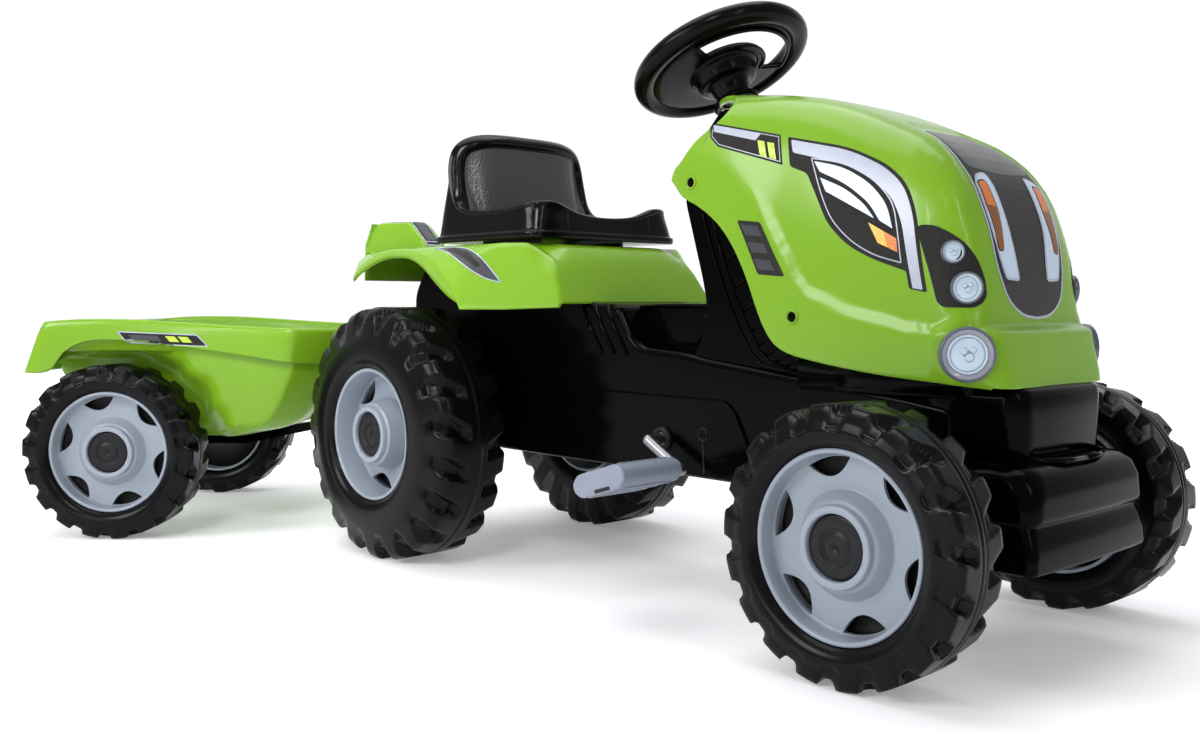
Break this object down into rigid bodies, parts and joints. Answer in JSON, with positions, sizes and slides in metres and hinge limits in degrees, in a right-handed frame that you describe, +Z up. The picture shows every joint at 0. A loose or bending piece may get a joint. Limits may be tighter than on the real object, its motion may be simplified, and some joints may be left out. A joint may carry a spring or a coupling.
{
  "type": "ride-on pedal tractor with trailer",
  "caption": "Child's ride-on pedal tractor with steered front wheels, chain-driven rear axle, low bucket seat and a detachable two-wheeled tipping-shape trailer.",
  "frame": {"origin": "centre of the whole object's box, on the floor", "axes": "+X the tractor's forward direction, +Y the rider's left, +Z up"},
  "size_m": [1.4181, 0.6547, 0.5761],
  "materials": {
    "body_green": "glossy moulded green plastic, faint orange peel",
    "chassis_black": "semi-gloss blow-moulded black plastic",
    "seat_black": "glossy black plastic with a grained inner panel",
    "wheel_black": "satin black plastic",
    "cap_black": "satin black plastic",
    "tyre_black": "hard black plastic tyre, satin",
    "rim_grey": "light blue-grey plastic, satin",
    "pedal_grey": "light blue-grey plastic, matt",
    "bezel_silver": "silver-grey plastic",
    "lens_clear": "clear lens",
    "nylon": "natural nylon",
    "steel": "zinc-plated steel"
  },
  "bodies": {
    "tractor": {"chassis": "chassis_black", "crank_cover_right": "chassis_black", "crank_cover_left": "chassis_black", "dash_column": "chassis_black", "front_weight": "chassis_black", "hood": "body_green", "hood_screws": "steel", "lamp_bezels": "bezel_silver", "lamp_lenses": "lens_clear", "saddle": "body_green", "front_beam": "chassis_black", "kingpins": "steel", "rear_bushes": "nylon", "crank_bushes": "steel", "column_bushes": "nylon", "drive_chain": "steel", "hitch_bracket": "chassis_black", "hitch_bracket_screws": "steel"},
    "seat": {"seat": "seat_black"},
    "steering": {"steering_wheel": "wheel_black", "steering_column": "steel"},
    "horn": {"horn_button": "cap_black"},
    "tie_rod": {"tie_rod": "steel"},
    "knuckle_right": {"knuckle_right": "steel", "stub_axle_right": "steel"},
    "knuckle_left": {"knuckle_left": "steel", "stub_axle_left": "steel"},
    "front_wheel_right": {"front_tyre_right": "tyre_black", "front_rim_right": "rim_grey", "front_cap_right": "cap_black"},
    "front_wheel_left": {"front_tyre_left": "tyre_black", "front_rim_left": "rim_grey", "front_cap_left": "cap_black"},
    "crank": {"crank_rod": "steel", "crank_sprocket": "steel"},
    "pedal_right": {"pedal_right": "pedal_grey"},
    "pedal_left": {"pedal_left": "pedal_grey"},
    "drive_axle": {"rear_axle": "steel", "rear_sprocket": "steel", "axle_clips": "steel", "rear_tyre_left": "tyre_black", "rear_rim_left": "rim_grey", "rear_cap_left": "cap_black"},
    "rear_wheel_right": {"rear_tyre_right": "tyre_black", "rear_rim_right": "rim_grey", "rear_cap_right": "cap_black"},
    "hitch_pin": {"hitch_pin": "steel"},
    "trailer": {"trailer_tub": "body_green", "trailer_frame": "chassis_black", "trailer_axle": "steel", "trailer_clips": "steel"},
    "trailer_wheel_right": {"trailer_tyre_right": "tyre_black", "trailer_rim_right": "rim_grey", "trailer_cap_right": "cap_black"},
    "trailer_wheel_left": {"trailer_tyre_left": "tyre_black", "trailer_rim_left": "rim_grey", "trailer_cap_left": "cap_black"}
  },
  "joints": [
    {"name": "seat_slide", "type": "slide", "parent": "tractor", "child": "seat", "axis": [1, 0, 0], "range_m": [0, 0.04]},
    {"name": "steering_turn", "type": "hinge", "parent": "tractor", "child": "steering", "pos_m": [0.31412, 0.11741, 0.53], "axis": [-0.4399, 0, 0.898], "range_deg": [-33, 33]},
    {"name": "horn_press", "type": "slide", "parent": "steering", "child": "horn", "axis": [0.4399, 0, -0.898], "range_m": [0, 0.002], "stiffness_N_per_m": 900, "springref_m": -0.0002},
    {"name": "tie_rod_shift", "type": "slide", "parent": "tractor", "child": "tie_rod", "axis": [0, 1, 0], "range_m": [-0.0204, 0.0204]},
    {"name": "knuckle_right_turn", "type": "hinge", "parent": "tractor", "child": "knuckle_right", "pos_m": [0.60212, -0.00759, 0.107], "axis": [0, 0, 1], "range_deg": [-20, 20]},
    {"name": "knuckle_left_turn", "type": "hinge", "parent": "tractor", "child": "knuckle_left", "pos_m": [0.60212, 0.24241, 0.107], "axis": [0, 0, 1], "range_deg": [-20, 20]},
    {"name": "front_wheel_right_spin", "type": "hinge", "parent": "knuckle_right", "child": "front_wheel_right", "pos_m": [0.60212, -0.06959, 0.107], "axis": [0, 1, 0], "continuous": true},
    {"name": "front_wheel_left_spin", "type": "hinge", "parent": "knuckle_left", "child": "front_wheel_left", "pos_m": [0.60212, 0.30441, 0.107], "axis": [0, 1, 0], "continuous": true},
    {"name": "drive_axle_spin", "type": "hinge", "parent": "tractor", "child": "drive_axle", "pos_m": [-0.02288, 0.11741, 0.142], "axis": [0, 1, 0], "continuous": true},
    {"name": "rear_wheel_right_spin", "type": "hinge", "parent": "tractor", "child": "rear_wheel_right", "pos_m": [-0.02288, -0.07259, 0.142], "axis": [0, 1, 0], "continuous": true},
    {"name": "crank_spin", "type": "hinge", "parent": "tractor", "child": "crank", "pos_m": [0.31012, 0.11741, 0.155], "axis": [0, 1, 0], "continuous": true},
    {"name": "pedal_right_spin", "type": "hinge", "parent": "crank", "child": "pedal_right", "pos_m": [0.35342, -0.03259, 0.13], "axis": [0, 1, 0], "continuous": true},
    {"name": "pedal_left_spin", "type": "hinge", "parent": "crank", "child": "pedal_left", "pos_m": [0.26682, 0.26741, 0.18], "axis": [0, 1, 0], "continuous": true},
    {"name": "hitch_pin_lift", "type": "slide", "parent": "tractor", "child": "hitch_pin", "axis": [0, 0, 1], "range_m": [0, 0.05]},
    {"name": "trailer_yaw", "type": "hinge", "parent": "tractor", "child": "trailer", "pos_m": [-0.25888, 0.11741, 0.142], "axis": [0, 0, 1], "range_deg": [-96, 8]},
    {"name": "trailer_wheel_right_spin", "type": "hinge", "parent": "trailer", "child": "trailer_wheel_right", "pos_m": [-0.35428, -0.24302, 0.107], "axis": [-0.6947, 0.7193, 0], "continuous": true},
    {"name": "trailer_wheel_left_spin", "type": "hinge", "parent": "trailer", "child": "trailer_wheel_left", "pos_m": [-0.62242, 0.03465, 0.107], "axis": [-0.6947, 0.7193, 0], "continuous": true}
  ],
  "couplings": [
    {"joint": "knuckle_right_turn", "follows": "steering_turn", "ratio": 0.6},
    {"joint": "knuckle_left_turn", "follows": "steering_turn", "ratio": 0.6},
    {"joint": "tie_rod_shift", "follows": "steering_turn", "m_per_rad": -0.0349},
    {"joint": "crank_spin", "follows": "drive_axle_spin", "ratio": 0.66667}
  ]
}
